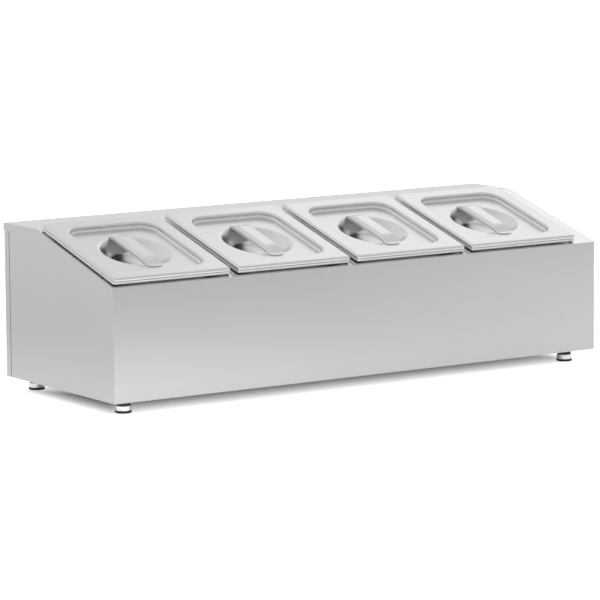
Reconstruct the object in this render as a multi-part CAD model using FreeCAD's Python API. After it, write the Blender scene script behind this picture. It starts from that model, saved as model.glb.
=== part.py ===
import FreeCAD, Part
import math
import os

vec = FreeCAD.Vector

# Pans: the 1/6 gastronorm size, in a row along X
pan_count = 4
pan_width = 162.0
pan_length = 176.0
pan_depth = 100.0
pan_sheet = 0.8
pan_gap = 10.0
pan_flange = 12.0
pan_flange_corner = 3.5
pan_lip = 2.6
pan_corner = 24.0
pan_mouth_round = 3.0
pan_shoulder_depth = 22.0
pan_shoulder_height = 4.0
pan_shoulder_inset = 2.5
pan_taper = 5.0
pan_floor_round = 12.0

# Holder: the pan row sets its width, the slope sets its depth and rear height
left_margin = 4.0
right_margin = 28.0
front_margin = 6.0
rear_margin = 5.4
slope_degrees = 16.1
front_height = 137.0
ledge_depth = 80.0
ground_gap = 16.0
sheet = 1.0
fold_round = 2.5
frame_lip = 10.0
return_width = 16.0
fit_gap = 0.5
seam_gap = 1.0
cover_depth = 14.0
upstand_height = 30.0

# Windows in the deck: each one clears the bend under the pan's flange, and its collar carries the flange
collar_height = 3.4
collar_sheet = 1.0
window_clearance = 0.4

# Lids
lid_sheet = 0.8
lid_inner_corner = 0.6
lid_edge_height = 3.6
lid_edge_round = 3.0
lid_seat_height = 1.2
lid_seat_inset = 1.6
lid_seat_wall = 1.2
lid_rim = 19.5
lid_bend = 2.4
recess_depth = 7.0
recess_corner = 22.0
recess_floor_round = 3.0
dish_radius = 44.0
dish_floor_radius = 27.0
dish_depth = 14.0
dish_floor_round = 10.0
dish_rim_round = 6.0

# Lid handles
handle_width = 24.0
handle_sheet = 1.2
handle_lip = 6.0
handle_landing = 6.0
handle_ramp = 11.0
handle_bend = 20.0
handle_crown = 5.0
handle_end_round = 9.0

# Feet
foot_side_inset = 28.0
foot_front_inset = 27.5
foot_rear_inset = 26.0
sole_radius = 10.0
sole_height = 3.0
sole_edge = 0.8
cap_radius = 9.5
cap_height = 6.0
cap_edge = 1.0
collar_radius = 8.5
collar_groove = 0.7
collar_groove_count = 16
stud_radius = 4.0
stud_seat = 2.0
stud_reach = 12.0
thread_clearance = 0.05

# Foot nuts, rivets, standoffs and screws
nut_flange_radius = 7.0
nut_flange_height = 1.2
nut_radius = 5.5
nut_height = 13.0
rivet_radius = 2.0
rivet_head_radius = 3.5
rivet_head_height = 1.2
rivet_tail_radius = 2.8
rivet_tail_height = 3.0
rivet_hole_clearance = 0.05
front_rivet_count = 5
front_rivet_end_gap = 70.0
side_rivet_end_gap = 70.0
standoff_radius = 3.5
standoff_shank_radius = 2.6
screw_radius = 2.0
screw_length = 9.0
screw_head_radius = 3.8
screw_head_height = 2.2
screw_head_round = 1.2
screw_slot_width = 1.0
screw_slot_depth = 0.8
screw_hole_clearance = 0.3
standoff_end_gap = 25.0
bottom_standoff_spread = 240.0

# How far a cutting tool runs past the face it cuts, and how close two places count as one
overrun = 2.0
same_place = 0.001

# What follows from the sizes above
slope = math.radians(slope_degrees)
slope_length = front_margin + pan_length + rear_margin
pan_pitch = pan_width + pan_gap
body_width = left_margin + pan_count * pan_width + (pan_count - 1) * pan_gap + right_margin
body_depth = slope_length * math.cos(slope) + ledge_depth
rear_height = front_height + slope_length * math.sin(slope)
front_y = -(body_depth + screw_head_height) / 2
rear_y = front_y + body_depth
bottom_z = ground_gap
front_top_z = bottom_z + front_height
rear_top_z = bottom_z + rear_height
inner_width = body_width - 2 * sheet
cover_top_z = rear_top_z - frame_lip - seam_gap
return_y = rear_y - cover_depth
base_bottom_z = bottom_z + sheet
base_top_z = base_bottom_z + sheet
rim_top = collar_height + pan_sheet
lid_top = rim_top + lid_seat_height + lid_edge_height
lid_corner = lid_inner_corner + lid_seat_inset + lid_seat_wall
recess_floor = lid_top - recess_depth
body_pan_width = pan_width - 2 * pan_flange
body_pan_length = pan_length - 2 * pan_flange
window_reach = pan_mouth_round - pan_sheet + window_clearance
window_width = body_pan_width + 2 * window_reach
window_length = body_pan_length + 2 * window_reach
window_corner = pan_corner + window_reach
foot_top_z = base_bottom_z - nut_flange_height


def rounded_wire(width, length, radius, level):
    # Rectangle with round corners, centred on Z
    arcs = []
    for quarter, (side_x, side_y) in enumerate(((1, -1), (1, 1), (-1, 1), (-1, -1))):
        centre = vec(side_x * (width / 2 - radius), side_y * (length / 2 - radius), level)
        turns = [math.radians(90 * quarter - 90 + part) for part in (0, 45, 90)]
        arcs.append([centre + vec(math.cos(turn), math.sin(turn), 0) * radius for turn in turns])
    edges = []
    for here, following in zip(arcs, arcs[1:] + arcs[:1]):
        edges.append(Part.Arc(*here).toShape())
        edges.append(Part.LineSegment(here[2], following[0]).toShape())
    return Part.Wire(edges)


def rounded_block(width, length, radius, bottom, top):
    return Part.Face(rounded_wire(width, length, radius, bottom)).extrude(vec(0, 0, top - bottom))


def block(x0, x1, y0, y1, z0, z1):
    return Part.makeBox(x1 - x0, y1 - y0, z1 - z0, vec(x0, y0, z0))


def post(radius, x, y, z0, z1):
    return Part.makeCylinder(radius, z1 - z0, vec(x, y, z0))


def rod_along_y(radius, x, z, y0, y1):
    return Part.makeCylinder(radius, y1 - y0, vec(x, y0, z), vec(0, 1, 0))


def level_edges(shape, level, reach=None):
    # Edges that lie flat at a level, within a reach on each side of X = 0 where one is given
    found = []
    for edge in shape.Edges:
        box = edge.BoundBox
        flat = abs(box.ZMin - level) < same_place and abs(box.ZMax - level) < same_place
        if flat and (reach is None or max(box.XMax, -box.XMin) < reach + same_place):
            found.append(edge)
    return found


def lengthwise_edges(shape, level):
    # Straight edges along Y at one level
    return [edge for edge in level_edges(shape, level) if edge.BoundBox.XLength < same_place]


def upright_edges(shape, y):
    # Straight edges along Z at one depth
    found = []
    for edge in shape.Edges:
        box = edge.BoundBox
        if box.YLength < same_place and box.XLength < same_place and abs(box.YMin - y) < same_place:
            found.append(edge)
    return found


def on_slope(shape, index):
    # Carries a shape drawn about a pan's centre on the flat to its place on the deck
    placed = shape.copy()
    placed.translate(vec(0, front_margin + pan_length / 2, 0))
    placed.rotate(vec(0, 0, 0), vec(1, 0, 0), slope_degrees)
    across = -body_width / 2 + left_margin + pan_width / 2 + index * pan_pitch
    placed.translate(vec(across, front_y, front_top_z))
    return placed


def body_profile(front_in, rear_in, drop, bottom):
    # Side outline of the body, drawn in from the front and rear and dropped from the top faces
    y0 = front_y + front_in
    y1 = rear_y - rear_in
    ledge_z = rear_top_z - drop
    start_z = front_top_z - drop / math.cos(slope)
    bend_y = front_y + (ledge_z - start_z) / math.tan(slope)
    front_z = start_z + front_in * math.tan(slope)
    return [(y0, bottom), (y1, bottom), (y1, ledge_z), (bend_y, ledge_z), (y0, front_z)]


def profile_block(outline, width):
    points = [vec(-width / 2, y, z) for y, z in outline + outline[:1]]
    return Part.Face(Part.makePolygon(points)).extrude(vec(width, 0, 0))


def spaced(first, last, count):
    return [first + (last - first) * step / (count - 1) for step in range(count)]


def rivet_places():
    side_x = inner_width / 2 - return_width / 2
    front_row_y = front_y + sheet + return_width / 2
    end_x = body_width / 2 - front_rivet_end_gap
    places = [(x, front_row_y) for x in spaced(-end_x, end_x, front_rivet_count)]
    for side in (-1, 1):
        places.append((side * side_x, front_y + side_rivet_end_gap))
        places.append((side * side_x, return_y - side_rivet_end_gap))
    return places


def standoff_places():
    side_x = inner_width / 2 - return_width / 2
    low_z = bottom_z + upstand_height / 2 + sheet
    places = [(side * bottom_standoff_spread / 2, low_z) for side in (-1, 1)]
    for side in (-1, 1):
        places.append((side * side_x, base_top_z + standoff_end_gap))
        places.append((side * side_x, cover_top_z - standoff_end_gap))
    return places


def foot_places():
    x = body_width / 2 - foot_side_inset
    near = front_y + foot_front_inset
    far = rear_y - foot_rear_inset
    return [(-x, near), (x, near), (-x, far), (x, far)]


def wrap_panel():
    outer = profile_block(body_profile(0, 0, 0, bottom_z), body_width)
    outer = outer.makeFillet(fold_round, upright_edges(outer, front_y))
    inner = block(-inner_width / 2, inner_width / 2, front_y + sheet, rear_y + overrun,
                  bottom_z - overrun, rear_top_z + overrun)
    inner = inner.makeFillet(fold_round - sheet, upright_edges(inner, front_y + sheet))
    opening = block(-inner_width / 2 + return_width, inner_width / 2 - return_width,
                    front_y + sheet + return_width, rear_y + overrun, bottom_z - overrun, base_bottom_z + overrun)
    floor_slab = block(-body_width, body_width, front_y, return_y, bottom_z, base_bottom_z)
    bottom_returns = outer.common(floor_slab).cut(opening)
    rear_notch = block(-body_width, body_width, return_y, rear_y + overrun,
                       bottom_z - overrun, rear_top_z - frame_lip)
    panel = outer.cut(inner).cut(rear_notch).fuse(bottom_returns)
    for side in (-1, 1):
        edges_x = sorted((side * inner_width / 2, side * (inner_width / 2 - return_width)))
        rear_return = block(edges_x[0], edges_x[1], return_y - sheet, return_y,
                            base_top_z + seam_gap, cover_top_z)
        panel = panel.fuse(rear_return)
    holes = [post(rivet_radius + rivet_hole_clearance, x, y, bottom_z - overrun, base_top_z)
             for x, y in rivet_places()]
    holes += [rod_along_y(standoff_shank_radius + rivet_hole_clearance, x, z,
                          return_y - sheet - overrun, return_y + overrun) for x, z in standoff_places()]
    return panel.cut(holes).removeSplitter()


def top_frame():
    skin = profile_block(body_profile(sheet, 0, 0, bottom_z), inner_width)
    skin = skin.makeFillet(fold_round, upright_edges(skin, front_y + sheet))
    hollow = profile_block(body_profile(2 * sheet, sheet, sheet, bottom_z - overrun), inner_width - 2 * sheet)
    below_lips = profile_block(body_profile(-overrun, -overrun, frame_lip, bottom_z - overrun), body_width)
    frame = skin.cut(hollow).cut(below_lips)
    collar = rounded_block(window_width + 2 * collar_sheet, window_length + 2 * collar_sheet,
                           window_corner + collar_sheet, -sheet, collar_height)
    window = rounded_block(window_width, window_length, window_corner, -sheet - overrun, collar_height + overrun)
    for index in range(pan_count):
        frame = frame.fuse(on_slope(collar, index)).cut(on_slope(window, index))
    return frame.removeSplitter()


def rear_cover():
    front_edge = return_y + seam_gap
    outer = block(-body_width / 2, body_width / 2, front_edge, rear_y, bottom_z, cover_top_z)
    outer = outer.makeFillet(fold_round, upright_edges(outer, rear_y))
    inner = block(-inner_width / 2, inner_width / 2, front_edge - overrun, rear_y - sheet,
                  base_bottom_z, cover_top_z - sheet)
    inner = inner.makeFillet(fold_round - sheet, upright_edges(inner, rear_y - sheet))
    holes = [rod_along_y(screw_radius + screw_hole_clearance, x, z, rear_y - sheet - overrun, rear_y + overrun)
             for x, z in standoff_places()]
    return outer.cut(inner).cut(holes)


def base_plate():
    half_x = inner_width / 2 - fit_gap
    plate = block(-half_x, half_x, front_y + sheet + fit_gap, return_y, base_bottom_z, base_top_z)
    plate = plate.makeFillet(fold_round, upright_edges(plate, front_y + sheet + fit_gap))
    half_upstand = inner_width / 2 - return_width - fit_gap
    upstand = block(-half_upstand, half_upstand, return_y - sheet, return_y,
                    base_bottom_z, bottom_z + upstand_height)
    holes = [post(rivet_radius + rivet_hole_clearance, x, y, bottom_z, base_top_z + overrun)
             for x, y in rivet_places()]
    holes += [post(nut_radius + rivet_hole_clearance, x, y, bottom_z, base_top_z + overrun)
              for x, y in foot_places()]
    holes += [rod_along_y(standoff_shank_radius + rivet_hole_clearance, x, z,
                          return_y - sheet - overrun, return_y + overrun) for x, z in standoff_places()]
    return plate.fuse(upstand).cut(holes).removeSplitter()


def rivet(x, y):
    head = Part.makeCylinder(rivet_head_radius, rivet_head_height, vec(x, y, bottom_z - rivet_head_height))
    head = head.makeChamfer(rivet_head_height / 2, level_edges(head, bottom_z - rivet_head_height))
    shank = post(rivet_radius, x, y, bottom_z - rivet_head_height, base_top_z + rivet_tail_height)
    tail = post(rivet_tail_radius, x, y, base_top_z, base_top_z + rivet_tail_height)
    return head.fuse([shank, tail]).removeSplitter()


def foot_nut(x, y):
    flange = post(nut_flange_radius, x, y, foot_top_z, base_bottom_z)
    barrel = post(nut_radius, x, y, foot_top_z, foot_top_z + nut_height)
    bore = post(stud_radius + thread_clearance, x, y, foot_top_z - overrun, foot_top_z + nut_height + overrun)
    return flange.fuse(barrel).cut(bore).removeSplitter()


def standoff(x, z):
    pillar = rod_along_y(standoff_radius, x, z, return_y, rear_y - sheet)
    shank = rod_along_y(standoff_shank_radius, x, z, return_y - sheet, return_y)
    bore = rod_along_y(screw_radius + thread_clearance, x, z, return_y - sheet - overrun, rear_y)
    return pillar.fuse(shank).cut(bore).removeSplitter()


def screw(x, z):
    head = rod_along_y(screw_head_radius, x, z, rear_y, rear_y + screw_head_height)
    crown = [edge for edge in head.Edges if edge.BoundBox.YMin > rear_y + screw_head_height - same_place]
    head = head.makeFillet(screw_head_round, crown)
    shank = rod_along_y(screw_radius, x, z, rear_y - screw_length, rear_y)
    slot = block(x - screw_head_radius, x + screw_head_radius, rear_y + screw_head_height - screw_slot_depth,
                 rear_y + screw_head_height + overrun, z - screw_slot_width / 2, z + screw_slot_width / 2)
    return head.fuse(shank).cut(slot).removeSplitter()


def pan_body(grow, top, bottom):
    # Straight mouth, a stacking shoulder and tapered walls down to the floor
    shoulder = rim_top - pan_shoulder_depth
    stations = [(top, 0), (shoulder, 0), (shoulder - pan_shoulder_height, pan_shoulder_inset),
                (bottom, pan_shoulder_inset + pan_taper)]
    wires = [rounded_wire(body_pan_width + 2 * (grow - inset), body_pan_length + 2 * (grow - inset),
                          pan_corner + grow - inset, level) for level, inset in stations]
    walls = Part.makeLoft(wires, True, True)
    return walls.makeFillet(pan_floor_round + pan_sheet + grow, level_edges(walls, bottom))


def pan():
    floor = rim_top - pan_depth
    outside = pan_body(0, rim_top - pan_sheet, floor)
    inside = pan_body(-pan_sheet, rim_top + overrun, floor + pan_sheet)
    flange = rounded_block(pan_width, pan_length, pan_flange_corner, rim_top - pan_lip, rim_top)
    flange = flange.makeFillet(pan_sheet, level_edges(flange, rim_top))
    solid = flange.fuse(outside).cut(inside)
    solid = solid.makeFillet(pan_mouth_round, level_edges(solid, rim_top, body_pan_width / 2))
    under = rounded_block(pan_width - 2 * pan_sheet, pan_length - 2 * pan_sheet,
                          pan_flange_corner - pan_sheet, rim_top - pan_lip - overrun, rim_top - pan_sheet)
    under = under.cut(outside)
    inner_edges = level_edges(under, rim_top - pan_sheet, body_pan_width / 2)
    under = under.makeFillet(pan_mouth_round - pan_sheet, inner_edges)
    return solid.cut(under)


def lid_dish(grow, top):
    # Cone with a rounded floor; a grown one is the outside of the pressed sheet
    lean = math.atan2(dish_radius - dish_floor_radius, dish_depth)
    inner_bottom = recess_floor - dish_depth
    bottom = inner_bottom - grow
    radii = [dish_floor_radius + (level - inner_bottom) * math.tan(lean) + grow / math.cos(lean)
             for level in (bottom, top)]
    cone = Part.makeCone(radii[0], radii[1], top - bottom, vec(0, 0, bottom))
    return cone.makeFillet(dish_floor_round + grow, level_edges(cone, bottom))


def lid_tub(grow, top):
    tub = rounded_block(pan_width - 2 * (lid_rim - grow), pan_length - 2 * (lid_rim - grow),
                        recess_corner + grow, recess_floor - grow, top)
    return tub.makeFillet(recess_floor_round + grow, level_edges(tub, recess_floor - grow))


def lid():
    edge_bottom = rim_top + lid_seat_height
    recess_reach = pan_width / 2 - lid_rim
    edge = rounded_block(pan_width, pan_length, lid_corner, edge_bottom, lid_top)
    edge = edge.makeFillet(lid_edge_round, level_edges(edge, lid_top))
    seat = rounded_block(pan_width - 2 * lid_seat_inset, pan_length - 2 * lid_seat_inset,
                         lid_corner - lid_seat_inset, rim_top, edge_bottom)
    pressing = lid_tub(lid_sheet, lid_top - lid_sheet).fuse(lid_dish(lid_sheet, recess_floor))
    rim_edges = level_edges(pressing, recess_floor - lid_sheet, dish_radius + lid_sheet)
    pressing = pressing.makeFillet(dish_rim_round + lid_sheet, rim_edges)
    solid = edge.fuse([seat, pressing]).cut(lid_tub(0, lid_top + overrun))
    solid = solid.makeFillet(lid_bend, level_edges(solid, lid_top, recess_reach))
    solid = solid.cut(lid_dish(0, recess_floor + overrun))
    solid = solid.makeFillet(dish_rim_round, level_edges(solid, recess_floor, dish_radius))
    inset = lid_seat_inset + lid_seat_wall
    under = rounded_block(pan_width - 2 * inset, pan_length - 2 * inset, lid_inner_corner,
                          rim_top - overrun, lid_top - lid_sheet)
    under = under.cut(pressing)
    bend_edges = level_edges(under, lid_top - lid_sheet, recess_reach + lid_sheet)
    under = under.makeFillet(lid_bend - lid_sheet, bend_edges)
    return solid.cut(under)


def lid_handle():
    # Arched strap with rolled-down edges; both ends lie on the panel beside the dish
    top = lid_top
    low = recess_floor
    end = dish_radius + handle_landing
    crest = dish_radius - handle_ramp
    lean = math.atan2(top - low - handle_sheet, handle_ramp)
    level_half = crest - handle_bend * math.tan(lean / 2)
    right_half = [(end, low), (end, low + handle_sheet), (dish_radius, low + handle_sheet), (crest, top)]
    left_half = [(-y, z) for y, z in reversed(right_half)]
    underside = [(-dish_radius, low), (-crest, top - handle_lip), (crest, top - handle_lip), (dish_radius, low)]
    outline = right_half + left_half + underside
    points = [vec(-handle_width / 2, y, z) for y, z in outline + outline[:1]]
    strap = Part.Face(Part.makePolygon(points)).extrude(vec(handle_width, 0, 0))
    shoulders = [edge for edge in level_edges(strap, top) if edge.BoundBox.YLength < same_place]
    strap = strap.makeFillet(handle_bend, shoulders)
    crown = block(-handle_width / 2, handle_width / 2, -end, end, low, top)
    crown = crown.makeFillet(handle_crown, lengthwise_edges(crown, top))
    plan = rounded_block(handle_width, 2 * end, handle_end_round, low, top)
    half_channel = handle_width / 2 - handle_sheet
    channel = block(-half_channel, half_channel, -level_half, level_half, low, top - handle_sheet)
    channel = channel.makeFillet(handle_crown - handle_sheet, lengthwise_edges(channel, top - handle_sheet))
    return strap.common(crown).common(plan).cut(channel)


def foot_sole(x, y):
    pad = post(sole_radius, x, y, 0, sole_height)
    return pad.makeChamfer(sole_edge, pad.Edges[:1] + pad.Edges[2:])


def foot_cap(x, y):
    top = sole_height + cap_height
    cap = post(cap_radius, x, y, sole_height, top)
    cap = cap.makeFillet(cap_edge, level_edges(cap, top))
    return cap.cut(post(stud_radius + thread_clearance, x, y, sole_height + stud_seat, top + overrun))


def foot_collar(x, y):
    bottom = sole_height + cap_height
    ring = post(collar_radius, x, y, bottom, foot_top_z)
    cuts = [post(stud_radius + thread_clearance, x, y, bottom - overrun, foot_top_z + overrun)]
    for step in range(collar_groove_count):
        turn = 2 * math.pi * step / collar_groove_count
        cuts.append(post(collar_groove, x + collar_radius * math.cos(turn), y + collar_radius * math.sin(turn),
                         bottom - overrun, foot_top_z + overrun))
    return ring.cut(cuts)


def foot_stud(x, y):
    return post(stud_radius, x, y, sole_height + stud_seat, foot_top_z + stud_reach)


def save(name, shape):
    shape.exportStep("parts/" + name + ".step")
    print(name, len(shape.Solids), "solid", round(shape.Volume), "mm3", shape.isValid())


os.makedirs("parts", exist_ok=True)
print("body", round(body_width, 1), "x", round(body_depth, 1), "x", round(rear_height, 1))

save("wrap_panel", wrap_panel())
save("top_frame", top_frame())
save("rear_cover", rear_cover())
save("base_plate", base_plate())
save("base_rivets", Part.makeCompound([rivet(x, y) for x, y in rivet_places()]))
save("foot_nuts", Part.makeCompound([foot_nut(x, y) for x, y in foot_places()]))
save("rear_cover_standoffs", Part.makeCompound([standoff(x, z) for x, z in standoff_places()]))
save("rear_cover_screws", Part.makeCompound([screw(x, z) for x, z in standoff_places()]))

flat_pan = pan()
flat_lid = lid()
flat_handle = lid_handle()
for index in range(pan_count):
    save("pan_%d" % (index + 1), on_slope(flat_pan, index))
    save("lid_%d" % (index + 1), on_slope(flat_lid, index))
    save("lid_handle_%d" % (index + 1), on_slope(flat_handle, index))

for number, (x, y) in enumerate(foot_places(), 1):
    save("foot_%d_sole" % number, foot_sole(x, y))
    save("foot_%d_cap" % number, foot_cap(x, y))
    save("foot_%d_collar" % number, foot_collar(x, y))
    save("foot_%d_stud" % number, foot_stud(x, y))
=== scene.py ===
import bpy
import fnmatch
import math
from mathutils import Matrix, Vector


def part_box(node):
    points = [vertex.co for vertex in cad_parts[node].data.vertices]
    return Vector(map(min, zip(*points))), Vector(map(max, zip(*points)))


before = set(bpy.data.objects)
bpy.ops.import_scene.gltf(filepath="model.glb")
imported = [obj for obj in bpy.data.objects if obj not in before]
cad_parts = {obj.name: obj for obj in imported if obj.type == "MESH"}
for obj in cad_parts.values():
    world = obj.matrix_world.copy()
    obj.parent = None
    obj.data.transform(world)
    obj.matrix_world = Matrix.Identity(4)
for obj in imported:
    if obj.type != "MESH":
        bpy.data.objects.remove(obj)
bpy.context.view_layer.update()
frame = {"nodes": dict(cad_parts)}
nodes = frame["nodes"]
scene = bpy.context.scene
scene.view_settings.view_transform = "Standard"
print("frame loaded:", len(nodes), "nodes")


# Shader maths: a Wire holds one socket, and an expression on Wires adds Math nodes
class Wire:
    def __init__(self, tree, socket=None):
        self.tree = tree
        self.socket = socket

    def node(self, kind, settings, inputs, output=0):
        made = self.tree.nodes.new(kind)
        for name, value in settings.items():
            setattr(made, name, value)
        for name, value in inputs.items():
            if isinstance(value, Wire):
                self.tree.links.new(value.socket, made.inputs[name])
            else:
                made.inputs[name].default_value = value
        return Wire(self.tree, made.outputs[output] if made.outputs else None)

    def maths(self, operation, first, second):
        return self.node("ShaderNodeMath", {"operation": operation}, {0: first, 1: second})

    def __add__(self, other):
        return self.maths("ADD", self, other)

    def __radd__(self, other):
        return self.maths("ADD", other, self)

    def __sub__(self, other):
        return self.maths("SUBTRACT", self, other)

    def __rsub__(self, other):
        return self.maths("SUBTRACT", other, self)

    def __mul__(self, other):
        return self.maths("MULTIPLY", self, other)

    def __rmul__(self, other):
        return self.maths("MULTIPLY", other, self)


def newMaterial(name):
    material = bpy.data.materials.new(name)
    material.use_nodes = True
    material.node_tree.nodes.clear()
    return material, Wire(material.node_tree)


def closeMaterial(start, shader):
    start.node("ShaderNodeOutputMaterial", {}, {"Surface": shader})


# Gives a material to every node whose name fits one of the patterns
def dress(material, *patterns):
    for pattern in patterns:
        for name in fnmatch.filter(nodes, pattern):
            slots = nodes[name].data.materials
            slots.clear()
            slots.append(material)


def place(start):
    return start.node("ShaderNodeTexCoord", {}, {}, "Object")


def stretched(start, scale):
    return start.node("ShaderNodeMapping", {}, {"Vector": place(start), "Scale": scale})


def axisOf(start, vector, axis):
    return start.node("ShaderNodeSeparateXYZ", {}, {"Vector": vector}, axis)


# How far a place lies outside two limits
def distance(start, value, low, high):
    off = start.node("ShaderNodeMath", {"operation": "ABSOLUTE"}, {0: value - (low + high) / 2})
    return off - (high - low) / 2


# 0 up to the first value and 1 from the second on
def ramp(start, value, first, second, curve="SMOOTHSTEP"):
    limits = {"Value": value, "From Min": first, "From Max": second, "To Min": 0.0, "To Max": 1.0}
    return start.node("ShaderNodeMapRange", {"interpolation_type": curve}, limits)


def rays(start, *kinds):
    return [start.node("ShaderNodeLightPath", {}, {}, f"Is {kind} Ray") for kind in kinds]


def greyTint(start, value):
    return start.node("ShaderNodeCombineColor", {}, {"Red": value, "Green": value, "Blue": value})


noiseMiddle = 0.5
bumpReach = 0.0001  # metres between a bump's lowest and highest places


def noise(start, vector, look):
    return start.node("ShaderNodeTexNoise", {}, {"Vector": vector, **look}, "Fac")


# Turns a noise into a change of the given width to both sides of zero
def spread(value, width):
    return (value - noiseMiddle) * width


def bumped(start, height, strength):
    return start.node("ShaderNodeBump", {}, {"Strength": strength, "Distance": bumpReach, "Height": height})


# Brushed sheet: long fine lines along the grain, faint blotches, a little bump
def brushedSteel(name, look):
    material, start = newMaterial(name)
    lines = noise(start, stretched(start, look["grain"]), look["lines"])
    blotch = noise(start, place(start), look["blotches"])
    tone = look["tone"] + spread(lines, look["lineTone"]) + spread(blotch, look["blotchTone"])
    rough = look["rough"] + spread(lines, look["lineRough"]) + spread(blotch, look["blotchRough"])
    shader = start.node("ShaderNodeBsdfPrincipled", {}, {
        "Base Color": greyTint(start, tone), "Metallic": 1.0, "Roughness": rough,
        "Normal": bumped(start, lines, look["bump"])})
    closeMaterial(start, shader)
    return material


bodySteel = {"tone": 0.535, "lineTone": 0.05, "blotchTone": 0.03,
             "rough": 0.24, "lineRough": 0.08, "blotchRough": 0.06,
             "bump": 0.05, "grain": (6.0, 6.0, 2600.0),
             "lines": {"Scale": 1.0, "Detail": 4.0, "Roughness": 0.6},
             "blotches": {"Scale": 9.0, "Detail": 3.0, "Roughness": 0.5}}
deckSteel = dict(bodySteel, grain=(6.0, 2600.0, 2600.0), tone=0.75)
lidSteel = dict(bodySteel, grain=(2200.0, 6.0, 6.0), tone=0.7, rough=0.26, lineRough=0.06, bump=0.02)
panSteel = dict(bodySteel, grain=(6.0, 6.0, 1500.0), tone=0.78, rough=0.28)
fastenerSteel = dict(bodySteel, grain=(900.0, 900.0, 900.0), tone=0.6, rough=0.3)

dress(brushedSteel("bodySteel", bodySteel), "wrap_panel", "rear_cover", "base_plate")
dress(brushedSteel("deckSteel", deckSteel), "top_frame")
dress(brushedSteel("lidSteel", lidSteel), "lid_*")  # the strap handles too
dress(brushedSteel("panSteel", panSteel), "pan_*")
dress(brushedSteel("fastenerSteel", fastenerSteel),
      "base_rivets", "foot_nuts", "foot_*_stud", "rear_cover_standoffs", "rear_cover_screws")
print("steel dressed")


# Feet: bright cap, black moulded collar and sole
def mouldedBlack(name, look):
    material, start = newMaterial(name)
    grain = noise(start, place(start), look["grain"])
    tone = look["tone"] + spread(grain, look["toneSpread"])
    rough = look["rough"] + spread(grain, look["roughSpread"])
    shader = start.node("ShaderNodeBsdfPrincipled", {}, {
        "Base Color": greyTint(start, tone), "Roughness": rough,
        "Normal": bumped(start, grain, look["bump"])})
    closeMaterial(start, shader)
    return material


capChrome = dict(bodySteel, grain=(400.0, 400.0, 4000.0), tone=0.82, rough=0.12, lineRough=0.04, bump=0.01)
soleRubber = {"tone": 0.028, "toneSpread": 0.012, "rough": 0.72, "roughSpread": 0.1, "bump": 0.15,
              "grain": {"Scale": 2600.0, "Detail": 5.0, "Roughness": 0.6}}
collarPlastic = {"tone": 0.035, "toneSpread": 0.01, "rough": 0.45, "roughSpread": 0.1, "bump": 0.08,
                 "grain": {"Scale": 1800.0, "Detail": 5.0, "Roughness": 0.6}}
dress(brushedSteel("capChrome", capChrome), "foot_*_cap")
dress(mouldedBlack("soleRubber", soleRubber), "foot_*_sole")
dress(mouldedBlack("collarPlastic", collarPlastic), "foot_*_collar")
print("feet dressed")


# Floor: a pale sheet that looks white out from under the body; its glow is held back under the body, a
# painted shadow. The steel sees a weaker white, a painted reflection, which is dimmer at the left (painted
# shade) and fades far in front. Pairs are distances from the body's outside, in metres
floorLook = {"half": 30.0, "tone": 0.92, "rough": 0.9, "lift": 0.7, "paintedReflectionGlow": 0.255,
             "sideShadowEdge": (-0.058, -0.006), "endShadowEdge": (-0.119, -0.018), "paintedReflectionFade": (0.1, 0.62),
             "leftNear": (0.02, 0.25), "leftFar": (0.32, 0.72), "leftPaintedShade": 0.58}


def makeFloor():
    half = floorLook["half"]
    corners = [(-half, -half, 0), (half, -half, 0), (half, half, 0), (-half, half, 0)]
    mesh = bpy.data.meshes.new("floor")
    mesh.from_pydata(corners, [], [(0, 1, 2, 3)])
    floor = bpy.data.objects.new("floor", mesh)
    scene.collection.objects.link(floor)
    material, start = newMaterial("floorWhite")
    low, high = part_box("wrap_panel")
    across, along = (axisOf(start, place(start), axis) for axis in "XY")
    # Painted shadow: the floor's glow is held back under the body and ramps up to full at its outline;
    # outside is this painted shadow mask, on top of the real shade the lamps leave there
    clearOfSideShadow = ramp(start, distance(start, across, low[0], high[0]), *floorLook["sideShadowEdge"], "LINEAR")
    clearOfEndShadow = ramp(start, distance(start, along, low[1], high[1]), *floorLook["endShadowEdge"], "LINEAR")
    outside = start.maths("MAXIMUM", clearOfSideShadow, clearOfEndShadow)
    # Painted reflection: the floor glows for mirror rays only, and the glow fades far in front, so the
    # front panel mirrors a brighter floor low down than high up
    farAhead = ramp(start, low[1] - along, *floorLook["paintedReflectionFade"])
    # Painted shade: the mirrored glow is weaker in a band to the left of the body, which darkens the body's
    # left side and its front-left fold
    toLeft = low[0] - across
    leftShadeMask = ramp(start, toLeft, *floorLook["leftNear"]) * (1 - ramp(start, toLeft, *floorLook["leftFar"]))
    seen, mirrored, passed = rays(start, "Camera", "Glossy", "Transmission")
    paintedReflectionGlow = mirrored * (1 - farAhead) * (1 - leftShadeMask * floorLook["leftPaintedShade"]) * floorLook["paintedReflectionGlow"]
    lift = ((seen + passed) * floorLook["lift"] + paintedReflectionGlow) * outside * outside
    tone = floorLook["tone"]
    shader = start.node("ShaderNodeBsdfPrincipled", {}, {
        "Base Color": (tone, tone, tone, 1), "Roughness": floorLook["rough"],
        "Emission Color": greyTint(start, lift), "Emission Strength": 1.0})
    closeMaterial(start, shader)
    mesh.materials.append(material)


makeFloor()
print("floor laid")


# Studio: a bright back wall and ceiling, dimmer in front, where the camera stands.
# Turn and rise are limits of the direction's Y and Z
worldLook = {"front": 0.64, "back": 0.8, "turn": (-0.6, 0.5), "ceilingFront": 0.72, "ceilingBack": 0.88,
             "rise": (0.1, 0.5)}


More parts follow.
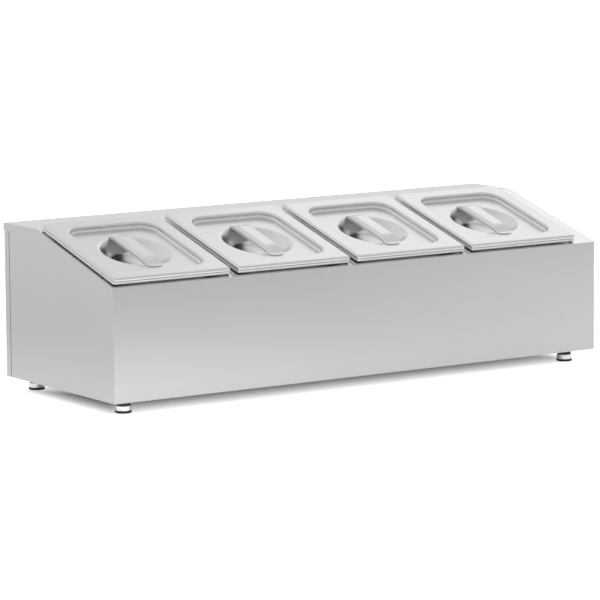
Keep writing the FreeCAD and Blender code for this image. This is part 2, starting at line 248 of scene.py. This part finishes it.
def makeWorld():
    world = bpy.data.worlds.new("studio")
    scene.world = world
    world.use_nodes = True
    tree = world.node_tree
    tree.nodes.clear()
    start = Wire(tree)
    direction = start.node("ShaderNodeTexCoord", {}, {}, "Generated")
    behind = ramp(start, axisOf(start, direction, "Y"), *worldLook["turn"])
    above = ramp(start, axisOf(start, direction, "Z"), *worldLook["rise"])
    wall = worldLook["front"] + behind * (worldLook["back"] - worldLook["front"])
    ceiling = worldLook["ceilingFront"] + behind * (worldLook["ceilingBack"] - worldLook["ceilingFront"])
    level = wall * (1 - above) + ceiling * above
    seen, passed = rays(start, "Camera", "Transmission")
    direct = seen + passed
    level = level * (1 - direct) + direct  # what is seen past the floor's edge is white
    shader = start.node("ShaderNodeBackground", {}, {"Color": greyTint(start, level), "Strength": 1.0})
    start.node("ShaderNodeOutputWorld", {}, {"Surface": shader})


makeWorld()


def makeSoftbox(name, look):
    lamp = bpy.data.lights.new(name, "AREA")
    lamp.shape = "RECTANGLE"
    lamp.size, lamp.size_y = look["size"]
    lamp.energy = look["watts"]
    holder = bpy.data.objects.new(name, lamp)
    scene.collection.objects.link(holder)
    holder.location = look["place"]
    aim = Vector(look["aim"]) - Vector(look["place"])
    holder.rotation_euler = aim.to_track_quat("-Z", "Y").to_euler()
    holder.visible_glossy = look["mirrored"]


# The left and right lamps brighten the floor that the front panel mirrors, and aren't mirrored themselves
leftSoftbox = {"size": (0.5, 0.25), "watts": 2.45, "place": (-0.36, -0.42, 0.62), "aim": (-0.36, -0.38, 0),
               "mirrored": False}
rightSoftbox = {"size": (0.5, 0.3), "watts": 2.1, "place": (0.95, -0.75, 0.62), "aim": (0.95, -0.76, 0),
                "mirrored": False}
rearSoftbox = {"size": (1.4, 1.2), "watts": 1.5, "place": (2.1, 1.7, 1.75), "aim": (0.2, 0, 0.15),
               "mirrored": True}
makeSoftbox("leftSoftbox", leftSoftbox)
makeSoftbox("rightSoftbox", rightSoftbox)
makeSoftbox("rearSoftbox", rearSoftbox)
print("studio lit")


# Camera: fitted to the photograph's edges; angles in degrees, lens and sensor in millimetres
cameraLook = {"place": (-2.5124, -3.7873, 0.7425), "yaw": 33.48, "pitch": 8.12, "roll": -0.47,
              "lens": 220.9, "sensor": 36.0, "clipEnd": 200.0}


def makeCamera():
    data = bpy.data.cameras.new("photoCamera")
    data.lens = cameraLook["lens"]
    data.sensor_width = cameraLook["sensor"]
    data.clip_end = cameraLook["clipEnd"]
    camera = bpy.data.objects.new("photoCamera", data)
    scene.collection.objects.link(camera)
    yaw, pitch, roll = (math.radians(cameraLook[key]) for key in ("yaw", "pitch", "roll"))
    ahead = Vector((math.sin(yaw) * math.cos(pitch), math.cos(yaw) * math.cos(pitch), -math.sin(pitch)))
    right = Vector((math.cos(yaw), -math.sin(yaw), 0))
    up = right.cross(ahead)
    turnedRight = right * math.cos(roll) + up * math.sin(roll)
    turnedUp = up * math.cos(roll) - right * math.sin(roll)
    turn = Matrix((turnedRight, turnedUp, -ahead)).transposed()
    camera.matrix_world = Matrix.Translation(cameraLook["place"]) @ turn.to_4x4()
    scene.camera = camera


makeCamera()
print("camera set")
